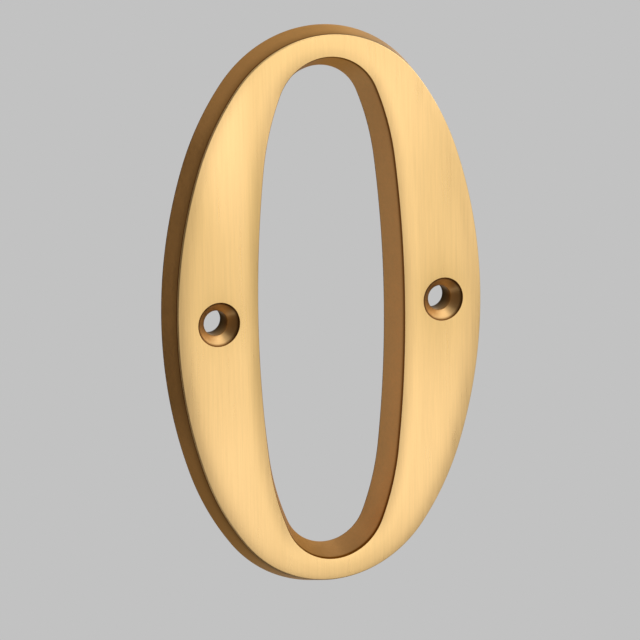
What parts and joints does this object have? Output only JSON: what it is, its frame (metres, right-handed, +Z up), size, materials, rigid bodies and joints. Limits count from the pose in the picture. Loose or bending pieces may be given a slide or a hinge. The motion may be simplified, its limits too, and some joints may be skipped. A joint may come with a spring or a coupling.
{
  "type": "door number",
  "caption": "Cast brass door numeral, a tall oval ring with softly rounded face and tapered walls, screwed flat to a door through countersunk holes.",
  "frame": {"origin": "middle of the two screw holes, on the flat back that lies on the door", "axes": "+Z up the height of the figure, -Y out of the door towards the viewer, +X to the right of someone facing the door"},
  "size_m": [0.062, 0.0052, 0.102],
  "materials": {
    "satin_brass": "satin brass, linished along the height on the face and as cast on the walls, unlacquered"
  },
  "bodies": {
    "root": {"door_number": "satin_brass"}
  },
  "joints": []
}
